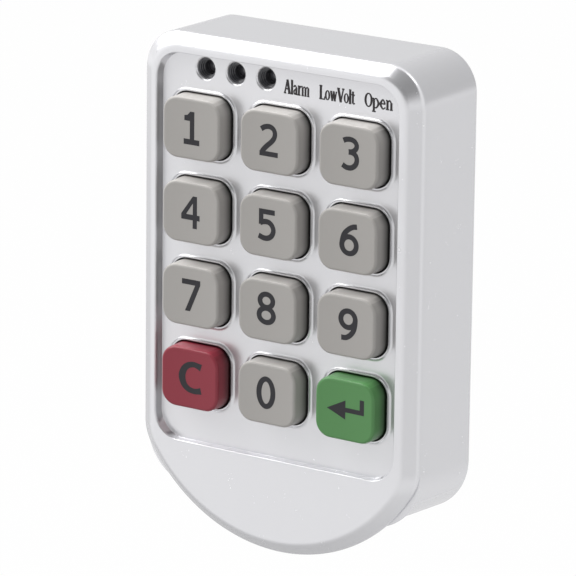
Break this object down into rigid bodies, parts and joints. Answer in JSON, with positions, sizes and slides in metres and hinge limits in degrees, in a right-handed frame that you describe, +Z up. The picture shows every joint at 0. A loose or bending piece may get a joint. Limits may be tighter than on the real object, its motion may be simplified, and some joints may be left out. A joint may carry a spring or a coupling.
{
  "type": "keypad smart lock",
  "caption": "Surface-mounted electronic cabinet lock: satin silver housing with a finger pull at the bottom, a keypad of push buttons, indicator lights and a motor-driven cam behind.",
  "frame": {"origin": "on the housing's rear face, where it seats on the door, on its vertical centre line, 40 mm below the top edge", "axes": "+X to the right and +Z up as seen from the front, +Y into the door"},
  "size_m": [0.05, 0.0456, 0.0791],
  "materials": {
    "satin_silver": "fine satin silver paint on zinc die casting",
    "key_grey": "fine satin, warm grey",
    "key_red": "fine satin, dusty red",
    "key_green": "fine satin, dull green",
    "silicone": "translucent grey silicone",
    "board_laminate": "green solder mask",
    "black_plastic": "moulded, fine grain",
    "smoked_lens": "smoked clear lens",
    "bare_aluminium": "drawn can",
    "spring_bronze": "spring strip",
    "brass": "machined",
    "cell_steel": "nickel-plated cell can",
    "rubber_pad": "closed-cell foam rubber",
    "plated_steel": "zinc plated"
  },
  "bodies": {
    "housing": {"front_housing": "satin_silver", "silicone_mat": "silicone", "circuit_board": "board_laminate", "led_alarm": "smoked_lens", "led_low_volt": "smoked_lens", "led_open": "smoked_lens", "led_spacer": "black_plastic", "microcontroller": "black_plastic", "motor_driver": "black_plastic", "buzzer": "black_plastic", "capacitor": "bare_aluminium", "motor_contact_positive": "spring_bronze", "motor_contact_negative": "spring_bronze", "battery_holder": "black_plastic", "coin_cell_left": "cell_steel", "coin_cell_right": "cell_steel", "battery_contact_left": "spring_bronze", "battery_contact_right": "spring_bronze", "battery_bridge": "spring_bronze", "motor": "bare_aluminium", "motor_pad": "rubber_pad", "limit_switch_locked": "black_plastic", "limit_switch_open": "black_plastic", "lock_barrel": "satin_silver", "barrel_washer": "plated_steel", "barrel_nut": "plated_steel", "back_plate": "satin_silver", "plate_screw_upper_right": "plated_steel", "plate_screw_upper_left": "plated_steel", "plate_screw_lower_right": "plated_steel", "plate_screw_lower_left": "plated_steel", "board_screw_upper_right": "plated_steel", "board_screw_upper_left": "plated_steel", "board_screw_lower_right": "plated_steel", "board_screw_lower_left": "plated_steel"},
    "key_1": {"key_1": "key_grey"},
    "key_2": {"key_2": "key_grey"},
    "key_3": {"key_3": "key_grey"},
    "key_4": {"key_4": "key_grey"},
    "key_5": {"key_5": "key_grey"},
    "key_6": {"key_6": "key_grey"},
    "key_7": {"key_7": "key_grey"},
    "key_8": {"key_8": "key_grey"},
    "key_9": {"key_9": "key_grey"},
    "key_clear": {"key_clear": "key_red"},
    "key_0": {"key_0": "key_grey"},
    "key_enter": {"key_enter": "key_green"},
    "cam_drive": {"worm_wheel": "brass", "spindle": "plated_steel", "cam": "plated_steel", "cam_washer": "plated_steel", "cam_screw": "plated_steel"},
    "worm_shaft": {"worm": "brass"}
  },
  "joints": [
    {"name": "key_1_press", "type": "slide", "parent": "housing", "child": "key_1", "axis": [0, 1, 0], "range_m": [0, 0.001], "stiffness_N_per_m": 200},
    {"name": "key_2_press", "type": "slide", "parent": "housing", "child": "key_2", "axis": [0, 1, 0], "range_m": [0, 0.001], "stiffness_N_per_m": 200},
    {"name": "key_3_press", "type": "slide", "parent": "housing", "child": "key_3", "axis": [0, 1, 0], "range_m": [0, 0.001], "stiffness_N_per_m": 200},
    {"name": "key_4_press", "type": "slide", "parent": "housing", "child": "key_4", "axis": [0, 1, 0], "range_m": [0, 0.001], "stiffness_N_per_m": 200},
    {"name": "key_5_press", "type": "slide", "parent": "housing", "child": "key_5", "axis": [0, 1, 0], "range_m": [0, 0.001], "stiffness_N_per_m": 200},
    {"name": "key_6_press", "type": "slide", "parent": "housing", "child": "key_6", "axis": [0, 1, 0], "range_m": [0, 0.001], "stiffness_N_per_m": 200},
    {"name": "key_7_press", "type": "slide", "parent": "housing", "child": "key_7", "axis": [0, 1, 0], "range_m": [0, 0.001], "stiffness_N_per_m": 200},
    {"name": "key_8_press", "type": "slide", "parent": "housing", "child": "key_8", "axis": [0, 1, 0], "range_m": [0, 0.001], "stiffness_N_per_m": 200},
    {"name": "key_9_press", "type": "slide", "parent": "housing", "child": "key_9", "axis": [0, 1, 0], "range_m": [0, 0.001], "stiffness_N_per_m": 200},
    {"name": "key_clear_press", "type": "slide", "parent": "housing", "child": "key_clear", "axis": [0, 1, 0], "range_m": [0, 0.001], "stiffness_N_per_m": 200},
    {"name": "key_0_press", "type": "slide", "parent": "housing", "child": "key_0", "axis": [0, 1, 0], "range_m": [0, 0.001], "stiffness_N_per_m": 200},
    {"name": "key_enter_press", "type": "slide", "parent": "housing", "child": "key_enter", "axis": [0, 1, 0], "range_m": [0, 0.001], "stiffness_N_per_m": 200},
    {"name": "cam_turn", "type": "hinge", "parent": "housing", "child": "cam_drive", "pos_m": [0, 0, -0.0155], "axis": [0, 1, 0], "range_deg": [0, 90]},
    {"name": "worm_spin", "type": "hinge", "parent": "housing", "child": "worm_shaft", "pos_m": [0, -0.0074, -0.0249], "axis": [1, 0, 0], "range_deg": [0, 1800]}
  ],
  "couplings": [
    {"joint": "worm_spin", "follows": "cam_turn", "ratio": 20}
  ]
}
